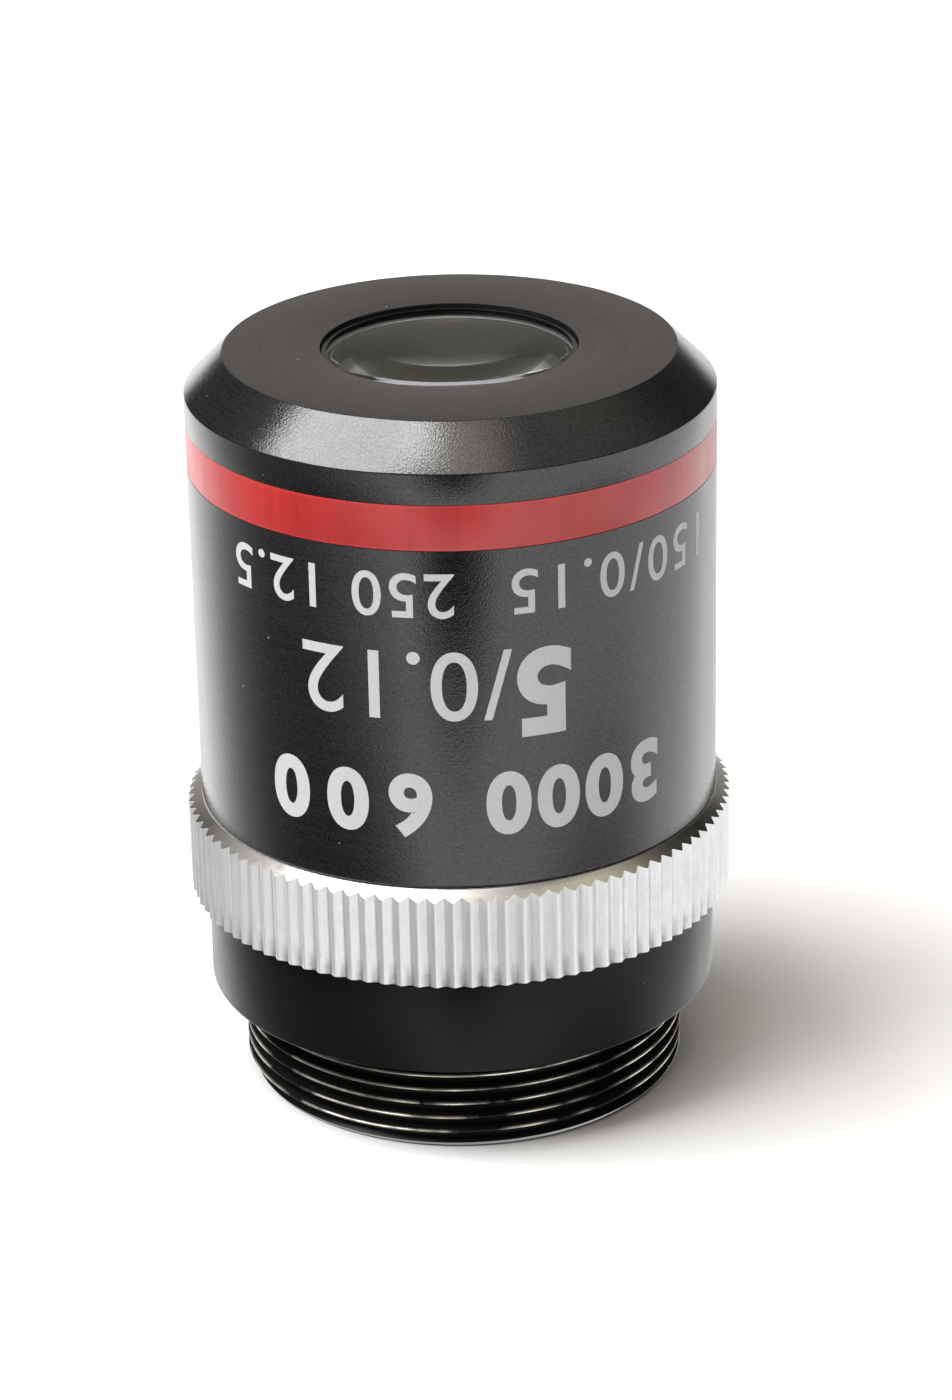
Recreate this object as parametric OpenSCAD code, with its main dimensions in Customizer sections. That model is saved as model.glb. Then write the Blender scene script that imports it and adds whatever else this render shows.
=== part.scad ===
// Low-power microscope objective with the standard screw mount, a turned black barrel, a bright
// knurled grip ring and seven lenses in four cells. +Z runs along the optical axis towards the
// front lens, and the origin is on the axis in the plane of the mounting shoulder. Millimetres.

/* [Barrel] */
// Front face to mounting shoulder, which leaves the working distance of a 45 mm parfocal objective
body_len = 30.03; // [29:0.01:32]
// Diameter of the barrel
barrel_d = 23.56; // [23.4:0.02:25]
// Height of the 45 degree chamfer round the front face
chamfer_len = 1.76; // [1:0.02:2.2]
// Wall of the barrel round its rear thread
sleeve_wall = 1.1; // [0.9:0.05:1.2]
// Step from the rear thread in to the plain bore of the barrel
sleeve_step = 0.38; // [0.2:0.02:0.6]
// Thickness of the front plate of the barrel
plate_len = 1.7; // [1.6:0.05:1.8]
// Diameter of the opening in the front face
opening_d = 11.4; // [11.36:0.02:12]
// Depth of the straight land of that opening, before its countersink
land_len = 0.43; // [0.3:0.01:0.6]
// Small turned edge break
edge = 0.12; // [0.05:0.01:0.2]

/* [Colour band] */
// Width of the enamel band that codes the magnification
band_w = 2.06; // [1:0.02:3]
// Distance from the band to the chamfer
band_inset = 1.37; // [0.5:0.01:3]
// Depth of the groove that the enamel fills
band_depth = 0.12; // [0.05:0.01:0.3]

/* [Knurled ring] */
// Diameter over the ridges
ring_d = 24.88; // [24.6:0.02:26]
// Metal between the top of a ridge and the bore
ring_wall = 1.24; // [1:0.02:1.6]
// Length of the knurled part
ring_len = 4.56; // [3.5:0.02:5]
// Number of straight V grooves
knurls = 100; // [60:1:120]
// Depth of the grooves
knurl_depth = 0.27; // [0.15:0.01:0.35]
// Flat on each ridge as a share of the pitch
ridge_flat_share = 0.14; // [0.05:0.01:0.4]
// Width of the polished cone at the front end
front_cone_w = 0.64; // [0.3:0.02:0.8]
// Height of that cone
front_cone_len = 0.38; // [0.2:0.02:0.5]
// Width of the cone at the rear end
rear_cone_w = 0.4; // [0.3:0.02:0.6]
// Height of that cone
rear_cone_len = 0.24; // [0.1:0.02:0.4]
// Length of the neck that leaves a dark gap below the ridges
neck_len = 0.24; // [0.1:0.02:0.5]
// Wall of that neck round the seat
neck_wall = 0.16; // [0.1:0.02:0.3]

/* [Mount body] */
// Major diameter of the mounting thread
thread_d = 20.32; // [20:0.01:21]
// Length of the thread at its full diameter
thread_len = 4.3; // [3.5:0.1:5]
// Lead-in chamfer at the end of the thread
lead = 0.4; // [0.2:0.05:0.6]
// Wall behind the mounting thread
thread_wall = 1.46; // [1:0.02:1.6]
// Diameter of the black base between the shoulder and the ring
base_d = 23.32; // [23.2:0.02:23.5]
// Length of that base
base_len = 4.3; // [3.8:0.02:5]
// How far the nose that takes the barrel goes in past the ring
nose_len = 3.9; // [3:0.1:5]
// Height of the inner ledge above the shoulder, where the lens tube seats
ledge_z = 2.2; // [1.5:0.05:2.6]
// Depth of the ledge's rear face below the shoulder
stop_seat = 1.2; // [0.6:0.05:1.8]
// Diameter of the light path through the ledge
ledge_d = 13.6; // [13.2:0.05:15]

/* [Lens tube] */
// Thickness of the ring that sets the parfocal distance
parfocal_len = 0.8; // [0.5:0.05:1]
// Width of that ring
parfocal_w = 2.08; // [1.5:0.02:2.2]
// Width of the tube's flange
flange_w = 0.45; // [0.4:0.01:0.8]
// Length of that flange
flange_len = 1.6; // [1:0.05:2]
// Length of the threaded ring that clamps the flange
lock_len = 2.6; // [1.5:0.05:3.5]
// Wall of the tube
tube_wall = 0.6; // [0.5:0.02:1.1]
// Thickness of the lip that carries the lens cells
tube_lip_len = 1; // [0.6:0.05:1.4]
// Diameter of the light path through that lip
tube_lip_d = 12.6; // [12:0.05:13.4]
// Tube's front end to the front face
head_len = 2.43; // [2.3:0.01:2.6]

/* [Rear stop] */
// Length of the threaded rear stop
rear_stop_len = 1.6; // [1:0.05:2.2]
// Diameter of its light path
rear_stop_d = 13; // [12:0.05:15]

/* [Spacers and stop] */
// Air space between the rear and middle cells
rear_spacer_len = 0.8; // [0.5:0.05:2.6]
// Air space between the second and front cells
front_spacer_len = 0.8; // [0.5:0.05:2.6]
// Wall of the spacers
spacer_wall = 0.9; // [0.6:0.05:1.2]
// Thickness of the aperture stop
stop_len = 0.4; // [0.2:0.05:0.6]
// Diameter of the aperture stop
stop_d = 6.8; // [5:0.1:8]

/* [Front lens] */
// Diameter of the front lens
front_d = 11; // [10:0.02:11]
// Thickness at its centre
front_t = 2.9; // [2.6:0.05:3]
// Radius of its outer surface
front_r_out = 62; // [50:1:90]
// Radius of its inner surface
front_r_in = 14.5; // [13:0.1:18]
// Centre of the lens to the front face
front_recess = 0.02; // [0:0.01:0.1]

/* [Second group] */
// Diameter of the second doublet
second_d = 11; // [10:0.05:13]
// Thickness of its crown element at the centre
second_crown_t = 3; // [2.6:0.05:3.6]
// Thickness of its flint element at the centre
second_flint_t = 1.1; // [1:0.05:1.6]
// Radius of the crown's front surface
second_r_front = 20; // [16:0.5:24]
// Radius of the cemented surface
second_r_mid = 14; // [12:0.5:18]
// Radius of the flint's rear surface
second_r_rear = 30; // [24:0.5:50]

/* [Middle group] */
// Diameter of the middle doublet
middle_d = 8.8; // [7:0.05:10]
// Thickness of its front element at the centre
middle_crown_t = 1.9; // [1.6:0.05:2.4]
// Thickness of its rear element at the centre
middle_flint_t = 1; // [0.8:0.05:1.6]
// Radius of the front surface
middle_r_front = 20; // [16:0.5:30]
// Radius of the cemented surface
middle_r_mid = 14; // [12:0.5:20]
// Radius of the hollow rear surface
middle_r_rear = 11; // [9:0.5:16]

/* [Rear group] */
// Diameter of the rear doublet
rear_d = 12; // [11:0.05:14]
// Thickness of its crown element at the centre
rear_crown_t = 2.7; // [2.4:0.05:3.2]
// Thickness of its flint element at the centre
rear_flint_t = 1.2; // [1:0.05:1.8]
// Radius of the crown's front surface
rear_r_front = 30; // [24:0.5:40]
// Radius of the cemented surface
rear_r_mid = 18; // [15:0.5:22]
// Radius of the flint's rear surface
rear_r_rear = 40; // [30:0.5:60]

/* [Cells] */
// Thickness of the seat that each lens rests on
seat_len = 0.8; // [0.6:0.05:1.2]
// How far a seat or retaining ring reaches in over the lens
seat_w = 0.55; // [0.4:0.01:0.6]
// Length of the retaining rings
retainer_len = 0.8; // [0.7:0.05:1.3]
// Depth of the retaining rings' thread
retainer_step = 0.35; // [0.25:0.01:0.4]
// Wall of the cells round the widest retaining ring
cell_wall = 0.93; // [0.7:0.01:1.4]
// Metal left past a retaining ring
cell_margin = 0.15; // [0.1:0.01:0.4]
// How far the front cell goes down into the tube
skirt_len = 1.2; // [1:0.05:2]
// Width of the spanner slots
slot_w = 0.9; // [0.6:0.05:1.2]
// Depth of the spanner slots
slot_depth = 0.4; // [0.3:0.05:0.6]
// Thickness of the rim turned over the front lens
rim_t = 0.08; // [0.06:0.01:0.1]
// How far that rim reaches in over the lens
rim_w = 0.08; // [0.06:0.01:0.12]

/* [Clearances] */
// Radial clearance of the screwed and sliding fits
fit = 0.03; // [0.02:0.01:0.05]
// Radial clearance round a lens
lens_fit = 0.02; // [0.01:0.01:0.04]
// Radial gap between the nose of the front cell and the opening
opening_gap = 0.04; // [0.03:0.01:0.1]
// Axial clearance between a curved face and its seat
seat_gap = 0.01; // [0.01:0.01:0.02]
// Joint line between the knurled ring and the barrel
joint_gap = 0.04; // [0.02:0.01:0.1]
// Gap between the cone of the front cell and the barrel's countersink
nose_gap = 0.1; // [0.08:0.01:0.15]

/* [Hidden] */
$fn = 160;
cut = edge;

// Drop of a spherical surface of radius r at the distance d from its axis
function sag(r, d) = r - sqrt(r * r - d * d);

// Drop of a domed surface at a retaining ring's edge, at the lens's edge, and midway between them
function retainer_drop(r, d) = sag(r, d / 2 - seat_w);
function edge_drop(r, d) = sag(r, d / 2);
function pocket_drop(r, d) = (retainer_drop(r, d) + edge_drop(r, d)) / 2;

// Radii of the barrel, the ring and the mount
barrel_r = barrel_d / 2;
face_r = barrel_r - chamfer_len;
sleeve_thread_r = barrel_r - sleeve_wall;
sleeve_bore_r = sleeve_thread_r - sleeve_step;
nose_r = sleeve_thread_r - fit;
ring_r = ring_d / 2;
valley_r = ring_r - knurl_depth;
seat_r = ring_r - ring_wall;
neck_r = seat_r + neck_wall;
base_r = base_d / 2;
thread_r = thread_d / 2;
rear_bore_r = thread_r - thread_wall;

// Radii of the cells and the tube, from the widest lens outwards
cell_r = max(front_d, second_d, middle_d, rear_d) / 2 + lens_fit + retainer_step + cell_wall;
cell_bore_r = cell_r + fit;
tube_r = cell_bore_r + tube_wall;
flange_r = tube_r + flange_w;
body_bore_r = flange_r + fit;

// Radii of the light path at the front
opening_r = opening_d / 2;
front_nose_r = opening_r - opening_gap;
front_r = front_d / 2;
front_bore_r = front_r + lens_fit;

// Heights, from the rear forwards
thread_end_z = -thread_len - lead;
neck_z = base_len;
ring_z = neck_z + neck_len;
ring_top_z = ring_z + ring_len;
sleeve_z = ring_top_z + joint_gap;
nose_top_z = sleeve_z + nose_len;
tube_z = ledge_z + parfocal_len;
flange_top_z = tube_z + flange_len;
tube_front_z = body_len - head_len;
chamfer_z = body_len - chamfer_len;
band_top_z = chamfer_z - band_inset;
band_z = band_top_z - band_w;
plate_z = body_len - plate_len;
land_z = body_len - land_len;

// Rear doublet and its cell, on the lip of the tube
rear_cell_z = tube_z + tube_lip_len;
rear_v1 = rear_cell_z + seat_len - retainer_drop(rear_r_rear, rear_d) + seat_gap;
rear_v2 = rear_v1 + rear_flint_t;
rear_v3 = rear_v2 + rear_crown_t;
rear_retainer_z = rear_v3 - retainer_drop(rear_r_front, rear_d) + seat_gap;
rear_cell_top = rear_retainer_z + retainer_len + cell_margin;

// Middle doublet and its cell, on the rear spacer
middle_cell_z = rear_cell_top + rear_spacer_len;
middle_v1 = middle_cell_z + seat_len + edge_drop(middle_r_rear, middle_d) + seat_gap;
middle_v2 = middle_v1 + middle_flint_t;
middle_v3 = middle_v2 + middle_crown_t;
middle_retainer_z = middle_v3 - retainer_drop(middle_r_front, middle_d) + seat_gap;
middle_cell_top = middle_retainer_z + retainer_len + cell_margin;

// Front lens and its cell, from the front face down
front_v2 = body_len - front_recess;
front_v1 = front_v2 - front_t;
rim_under_z = front_v2 - sag(front_r_out, front_r - rim_w) + seat_gap;
front_pocket_top = front_v1 + pocket_drop(front_r_in, front_d);
front_retainer_top = front_v1 + retainer_drop(front_r_in, front_d) - seat_gap;
front_flange_top = plate_z - nose_gap * 2;
front_cone_top = land_z - nose_gap;
front_cell_z = tube_front_z - skirt_len;

// Second doublet and its cell, under the front spacer
second_cell_top = front_cell_z - front_spacer_len;
second_retainer_z = second_cell_top - cell_margin - retainer_len;
second_v3 = second_retainer_z + retainer_drop(second_r_front, second_d) - seat_gap;
second_v2 = second_v3 - second_crown_t;
second_v1 = second_v2 - second_flint_t;
second_cell_z = second_v1 + retainer_drop(second_r_rear, second_d) - seat_gap - seat_len;

// Plain ring from z_low to z_high
module ring(r_out, r_in, z_low, z_high) {
    difference() {
        translate([0, 0, z_low]) cylinder(r = r_out, h = z_high - z_low);
        translate([0, 0, z_low - cut]) cylinder(r = r_in, h = z_high - z_low + cut * 2);
    }
}

// Turned part from an outline of radius and height points
module turned(outline) {
    rotate_extrude() polygon(outline);
}

// Two spanner slots across a ring, from z_low upwards
module spanner_slots(r_out, z_low) {
    translate([-r_out - cut, -slot_w / 2, z_low]) cube([(r_out + cut) * 2, slot_w, slot_depth + cut]);
}

// Threaded ring with spanner slots in its front face, or in its rear face
module slotted_ring(r_out, r_in, z_low, z_high, front = true) {
    difference() {
        ring(r_out, r_in, z_low, z_high);
        spanner_slots(r_out, front ? z_high - slot_depth : z_low - cut);
    }
}

// Lens between the vertices v_rear and v_front. A positive radius is domed, a negative one hollow.
module lens(d, v_rear, v_front, r_rear, r_front) {
    low = r_rear > 0 ? v_rear : v_rear - sag(-r_rear, d / 2);
    high = r_front > 0 ? v_front : v_front + sag(-r_front, d / 2);
    difference() {
        intersection() {
            translate([0, 0, low - cut]) cylinder(d = d, h = high - low + cut * 2);
            if (r_rear > 0) translate([0, 0, v_rear + r_rear]) sphere(r = r_rear);
            if (r_front > 0) translate([0, 0, v_front - r_front]) sphere(r = r_front);
        }
        if (r_rear < 0) translate([0, 0, v_rear + r_rear]) sphere(r = -r_rear);
        if (r_front < 0) translate([0, 0, v_front - r_front]) sphere(r = -r_front);
    }
}

// Cell whose lens rests on a seat at its rear end and is held by a ring from its front end
module cell(d, z_low, z_pocket, z_top) {
    bore_r = d / 2 + lens_fit;
    difference() {
        translate([0, 0, z_low]) cylinder(r = cell_r, h = z_top - z_low);
        translate([0, 0, z_low - cut]) cylinder(r = d / 2 - seat_w, h = z_top - z_low + cut * 2);
        translate([0, 0, z_low + seat_len]) cylinder(r = bore_r, h = z_top - z_low);
        translate([0, 0, z_pocket]) cylinder(r = bore_r + retainer_step, h = z_top - z_low);
    }
}

// Retaining ring of a lens of diameter d
module retainer(d, z_low, z_high, front = true) {
    slotted_ring(d / 2 + lens_fit + retainer_step - fit, d / 2 - seat_w, z_low, z_high, front);
}

// Barrel with its front plate, chamfer and groove for the enamel
module outer_sleeve() {
    thread_end = nose_top_z + edge;
    color([0.06, 0.06, 0.065]) turned([
        [sleeve_thread_r, sleeve_z],
        [barrel_r - edge, sleeve_z],
        [barrel_r, sleeve_z + edge],
        [barrel_r, band_z],
        [barrel_r - band_depth, band_z],
        [barrel_r - band_depth, band_top_z],
        [barrel_r, band_top_z],
        [barrel_r, chamfer_z],
        [face_r, body_len],
        [opening_r, body_len],
        [opening_r, land_z],
        [opening_r + land_z - plate_z, plate_z],
        [sleeve_bore_r, plate_z],
        [sleeve_bore_r, thread_end],
        [sleeve_thread_r, thread_end]
    ]);
}

// Enamel in the barrel's groove
module colour_band() {
    color([0.62, 0.06, 0.06]) ring(barrel_r, barrel_r - band_depth, band_z, band_top_z);
}

// One groove and ridge: shares of the pitch, with the radius at each
knurl_points = [
    [0, valley_r],
    [0.5 - ridge_flat_share / 2, ring_r],
    [0.5 + ridge_flat_share / 2, ring_r]
];

// Outline of the straight V grooves
function knurl_outline() = [
    for (i = [0:knurls - 1], p = knurl_points)
        let (a = (i + p[0]) * 360 / knurls) [p[1] * cos(a), p[1] * sin(a)]
];

// Grip ring: grooves cut to the turned form with a cone at each end, on a plain neck
module knurled_ring() {
    color([0.82, 0.82, 0.8]) difference() {
        union() {
            intersection() {
                translate([0, 0, ring_z]) linear_extrude(ring_len) polygon(knurl_outline());
                turned([
                    [0, ring_z],
                    [ring_r - rear_cone_w, ring_z],
                    [ring_r, ring_z + rear_cone_len],
                    [ring_r, ring_top_z - front_cone_len],
                    [ring_r - front_cone_w, ring_top_z],
                    [0, ring_top_z]
                ]);
            }
            translate([0, 0, neck_z]) cylinder(r = neck_r, h = neck_len + edge);
        }
        translate([0, 0, neck_z - cut]) cylinder(r = seat_r + fit, h = ring_len + neck_len + cut * 2);
    }
}

// Threaded mount, black base, seat of the grip ring and nose that the barrel screws on to
module mount_body() {
    color([0.05, 0.05, 0.055]) turned([
        [rear_bore_r, thread_end_z],
        [thread_r - lead, thread_end_z],
        [thread_r, -thread_len],
        [thread_r, 0],
        [base_r - edge, 0],
        [base_r, edge],
        [base_r, neck_z - edge],
        [base_r - edge, neck_z],
        [seat_r, neck_z],
        [seat_r, ring_top_z],
        [nose_r, ring_top_z],
        [nose_r, nose_top_z - edge],
        [nose_r - edge, nose_top_z],
        [body_bore_r, nose_top_z],
        [body_bore_r, ledge_z],
        [ledge_d / 2, ledge_z],
        [ledge_d / 2, -stop_seat],
        [rear_bore_r, -stop_seat]
    ]);
}

// Tube that holds the stack of cells, with its clamping flange and rear lip
module inner_tube() {
    color([0.72, 0.6, 0.32]) turned([
        [tube_lip_d / 2, tube_z],
        [flange_r, tube_z],
        [flange_r, flange_top_z],
        [tube_r, flange_top_z],
        [tube_r, tube_front_z],
        [cell_bore_r, tube_front_z],
        [cell_bore_r, rear_cell_z],
        [tube_lip_d / 2, rear_cell_z]
    ]);
}

module parfocal_ring() {
    color([0.75, 0.75, 0.76]) ring(flange_r, flange_r - parfocal_w, ledge_z, tube_z);
}

module tube_lock_ring() {
    color([0.72, 0.6, 0.32]) slotted_ring(flange_r, tube_r + fit, flange_top_z, flange_top_z + lock_len);
}

module rear_stop() {
    color([0.05, 0.05, 0.055])
        slotted_ring(rear_bore_r - fit, rear_stop_d / 2, -stop_seat - rear_stop_len, -stop_seat, false);
}

// Cell of the front lens: skirt in the tube, flange on its end, coned nose with a thin turned rim
module front_cell() {
    pocket_r = front_bore_r + retainer_step;
    color([0.07, 0.07, 0.075]) turned([
        [pocket_r, front_cell_z],
        [cell_r, front_cell_z],
        [cell_r, tube_front_z],
        [tube_r, tube_front_z],
        [tube_r, front_flange_top],
        [front_nose_r + front_cone_top - front_flange_top, front_flange_top],
        [front_nose_r, front_cone_top],
        [front_nose_r, rim_under_z + rim_t],
        [front_r - rim_w, rim_under_z + rim_t],
        [front_r - rim_w, rim_under_z],
        [front_bore_r, rim_under_z],
        [front_bore_r, front_pocket_top],
        [pocket_r, front_pocket_top]
    ]);
}

module second_cell() {
    color([0.07, 0.07, 0.075])
        cell(second_d, second_cell_z, second_v3 - pocket_drop(second_r_front, second_d), second_cell_top);
}

module middle_cell() {
    color([0.07, 0.07, 0.075])
        cell(middle_d, middle_cell_z, middle_v3 - pocket_drop(middle_r_front, middle_d), middle_cell_top);
}

module rear_cell() {
    color([0.07, 0.07, 0.075])
        cell(rear_d, rear_cell_z, rear_v3 - pocket_drop(rear_r_front, rear_d), rear_cell_top);
}

module front_retainer() {
    color([0.1, 0.1, 0.1]) retainer(front_d, front_retainer_top - retainer_len, front_retainer_top, false);
}

module second_retainer() {
    color([0.1, 0.1, 0.1]) retainer(second_d, second_retainer_z, second_retainer_z + retainer_len);
}

module middle_retainer() {
    color([0.1, 0.1, 0.1]) retainer(middle_d, middle_retainer_z, middle_retainer_z + retainer_len);
}

module rear_retainer() {
    color([0.1, 0.1, 0.1]) retainer(rear_d, rear_retainer_z, rear_retainer_z + retainer_len);
}

module front_spacer() {
    color([0.08, 0.08, 0.08]) ring(cell_r, cell_r - spacer_wall, second_cell_top, front_cell_z);
}

// Long spacer that takes up what the length of the body leaves between the stop and the second cell
module middle_spacer() {
    color([0.08, 0.08, 0.08]) ring(cell_r, cell_r - spacer_wall, middle_cell_top + stop_len, second_cell_z);
}

module rear_spacer() {
    color([0.08, 0.08, 0.08]) ring(cell_r, cell_r - spacer_wall, rear_cell_top, middle_cell_z);
}

// Thin disc whose opening is coned to a sharp edge at its rear
module aperture_stop() {
    color([0.08, 0.08, 0.08]) difference() {
        translate([0, 0, middle_cell_top]) cylinder(r = cell_r, h = stop_len);
        translate([0, 0, middle_cell_top - cut]) cylinder(d = stop_d, h = stop_len + cut * 2);
        translate([0, 0, middle_cell_top + seat_gap])
            cylinder(r1 = stop_d / 2, r2 = stop_d / 2 + stop_len, h = stop_len);
    }
}

module front_lens() {
    color([0.75, 0.82, 0.8, 0.5]) lens(front_d, front_v1, front_v2, front_r_in, front_r_out);
}

module second_lens_crown() {
    color([0.75, 0.82, 0.8, 0.5]) lens(second_d, second_v2, second_v3, second_r_mid, second_r_front);
}

module second_lens_flint() {
    color([0.8, 0.8, 0.7, 0.5]) lens(second_d, second_v1, second_v2, second_r_rear, -second_r_mid);
}

module middle_lens_crown() {
    color([0.75, 0.82, 0.8, 0.5]) lens(middle_d, middle_v2, middle_v3, middle_r_mid, middle_r_front);
}

module middle_lens_flint() {
    color([0.8, 0.8, 0.7, 0.5]) lens(middle_d, middle_v1, middle_v2, -middle_r_rear, -middle_r_mid);
}

module rear_lens_crown() {
    color([0.75, 0.82, 0.8, 0.5]) lens(rear_d, rear_v2, rear_v3, rear_r_mid, rear_r_front);
}

module rear_lens_flint() {
    color([0.8, 0.8, 0.7, 0.5]) lens(rear_d, rear_v1, rear_v2, rear_r_rear, -rear_r_mid);
}

outer_sleeve();
colour_band();
knurled_ring();
mount_body();
inner_tube();
parfocal_ring();
tube_lock_ring();
rear_stop();
front_cell();
second_cell();
middle_cell();
rear_cell();
front_retainer();
second_retainer();
middle_retainer();
rear_retainer();
front_spacer();
middle_spacer();
rear_spacer();
aperture_stop();
front_lens();
second_lens_crown();
second_lens_flint();
middle_lens_crown();
middle_lens_flint();
rear_lens_crown();
rear_lens_flint();
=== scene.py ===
# %% [markdown]
# A low-power microscope objective stands on its screw thread with the front lens up. The solids
# come from the CAD model, packed as a fixed frame. They could be dressed as they are, but their
# facets and sharp corners would show from close by. So the frame gives every size and place, and
# the visible pieces are turned again here with soft edges and fine grain.

# %% Load the frame
import bpy
import math
import random
from mathutils import Matrix, Vector


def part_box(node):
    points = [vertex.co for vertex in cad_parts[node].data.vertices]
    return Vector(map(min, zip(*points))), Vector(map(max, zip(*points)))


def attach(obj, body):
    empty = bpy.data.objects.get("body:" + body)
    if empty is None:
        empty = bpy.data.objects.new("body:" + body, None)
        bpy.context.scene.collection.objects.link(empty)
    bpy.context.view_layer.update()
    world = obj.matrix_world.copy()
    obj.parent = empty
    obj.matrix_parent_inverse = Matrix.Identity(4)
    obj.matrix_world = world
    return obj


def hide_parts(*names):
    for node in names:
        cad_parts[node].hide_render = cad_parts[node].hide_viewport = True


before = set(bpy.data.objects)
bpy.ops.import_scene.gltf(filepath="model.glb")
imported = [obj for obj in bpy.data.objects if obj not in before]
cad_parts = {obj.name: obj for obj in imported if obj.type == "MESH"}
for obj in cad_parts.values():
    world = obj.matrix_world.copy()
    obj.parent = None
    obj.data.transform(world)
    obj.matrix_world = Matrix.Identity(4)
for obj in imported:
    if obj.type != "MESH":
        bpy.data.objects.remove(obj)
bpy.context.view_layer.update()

MM = 0.001

# %% [markdown]
# The camera comes first, because each piece is judged in its picture. A real camera could be
# guessed by eye, but the ellipses of the turned edges say exactly where it stood: 178 mm in front
# of the objective and 90 mm above its shoulder, tilted down by 23.5 degrees. A long lens keeps
# the barrel nearly straight. The sensor's long side is the picture's height.

# %% Camera
camera_place = Vector((0, -178.49, 90.40)) * MM
camera_heading = math.radians(-0.2755)
camera_tilt = math.radians(90 - 23.463)
camera_roll = math.radians(-1.155)
sensor_long_side = 36
lens_length = 109.77
nearest_seen = 0.01
farthest_seen = 100

bpy.ops.object.camera_add()
camera = bpy.context.object
camera.name = "camera"
camera.data.sensor_width = sensor_long_side
camera.data.lens = lens_length
camera.data.clip_start = nearest_seen
camera.data.clip_end = farthest_seen
camera.matrix_world = (
    Matrix.Translation(camera_place)
    @ Matrix.Rotation(camera_heading, 4, "Z")
    @ Matrix.Rotation(camera_tilt, 4, "X")
    @ Matrix.Rotation(camera_roll, 4, "Z")
)
bpy.context.scene.camera = camera
print("camera looks along", [round(v, 3) for v in camera.matrix_world.to_3x3() @ Vector((0, 0, -1))])

# %% [markdown]
# Almost every piece here is turned on a lathe. In Blender a turned form can be spun from a
# profile, screwed with a modifier, or drawn out from a circle. The circle is chosen: it is
# extruded from one point of the outline to the next and resized to the radius there, which is
# what a turner does with the tool. Every corner gets its small edge break in the outline itself,
# because a perfectly sharp edge never catches the light.

# %% Helpers for turning
EDGE_STEPS = 4
TURN_STEPS = 256
MERGE = 0.0004 * MM
SMOOTH_ANGLE = math.radians(28)


def deselect():
    """Leaves edit mode with nothing selected."""
    if bpy.context.object and bpy.context.object.mode != "OBJECT":
        bpy.ops.object.mode_set(mode="OBJECT")
    bpy.ops.object.select_all(action="DESELECT")


def soften(outline, closed):
    """Rounds the corners of an outline of (radius, height, edge break) points, in mm."""
    points = []
    last = len(outline) - 1
    for i, (r, z, soft) in enumerate(outline):
        if soft == 0 or (not closed and i in (0, last)):
            points.append((r, z))
            continue
        here = Vector((r, z))
        before = Vector(outline[i - 1][:2])
        after = Vector(outline[(i + 1) % len(outline)][:2])
        start = here + (before - here).normalized() * soft
        end = here + (after - here).normalized() * soft
        for step in range(EDGE_STEPS + 1):
            t = step / EDGE_STEPS
            points.append(tuple(start * (1 - t) ** 2 + here * 2 * t * (1 - t) + end * t * t))
    return points


def turn(name, outline, segments=TURN_STEPS, closed=True):
    """Turns an outline in mm about the optical axis. An open one is closed by a pole at each end."""
    points = soften(outline, closed)
    r_last, z_last = points[0]
    deselect()
    bpy.ops.mesh.primitive_circle_add(
        vertices=segments, radius=r_last * MM, location=(0, 0, z_last * MM))
    bpy.ops.object.transform_apply(location=True, rotation=True, scale=True)
    piece = bpy.context.object
    piece.name = name
    bpy.ops.object.mode_set(mode="EDIT")
    bpy.ops.mesh.select_all(action="SELECT")
    for r, z in points[1:] + (points[:1] if closed else []):
        bpy.ops.mesh.extrude_region_move(TRANSFORM_OT_translate={"value": (0, 0, (z - z_last) * MM)})
        bpy.ops.transform.resize(value=(r / r_last, r / r_last, 1), center_override=(0, 0, z * MM))
        r_last, z_last = r, z
    if not closed:
        bpy.ops.mesh.merge(type="CENTER")
        bpy.ops.mesh.select_non_manifold(extend=False)
        bpy.ops.mesh.extrude_region_move(TRANSFORM_OT_translate={"value": (0, 0, 0)})
        bpy.ops.mesh.merge(type="CENTER")
    bpy.ops.mesh.select_all(action="SELECT")
    bpy.ops.mesh.remove_doubles(threshold=MERGE)
    bpy.ops.mesh.normals_make_consistent(inside=False)
    bpy.ops.object.mode_set(mode="OBJECT")
    return piece


def finish_piece(piece, material, slot, *nodes):
    """Shades a piece smooth, gives it its finish, and lets it ride for the CAD nodes it replaces."""
    deselect()
    piece.select_set(True)
    bpy.context.view_layer.objects.active = piece
    bpy.ops.object.shade_smooth_by_angle(angle=SMOOTH_ANGLE)
    piece.data.materials.clear()
    piece.data.materials.append(material)
    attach(piece, "root")
    if nodes:
        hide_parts(*nodes)
    print(piece.name, len(piece.data.polygons), "faces")


def span(node):
    """Outer radius, lowest and highest height of a CAD node, in mm."""
    low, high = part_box(node)
    return high.x / MM, low.z / MM, high.z / MM


def dress(material, *nodes):
    """Gives CAD nodes that keep their own mesh a finish."""
    for node in nodes:
        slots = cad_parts[node].data.materials
        slots.clear()
        slots.append(material)


# %% [markdown]
# Every finish is a small network of nodes, so a few helpers keep them short. Patterns are fixed
# to the metal by Object coordinates. A cutting tool leaves grain that runs round the axis: it
# changes fast with height on the barrel, and fast with radius on a flat face. Height less radius
# changes on both, so one coordinate serves for the whole piece.

# %% Helpers for finishes
NOISE_LOW, NOISE_HIGH = 0.3, 0.7
CLEAN_SHARE = 0.8
DUST_COVER = 0.5
DUST_GREY = (0.3, 0.3, 0.3, 1)
GLOSS_IOR = 1.5


def new_finish(name):
    """A material with its node tree and its main shader."""
    material = bpy.data.materials.new(name)
    material.use_nodes = True
    tree = material.node_tree
    return material, tree, tree.nodes["Principled BSDF"]


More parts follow.
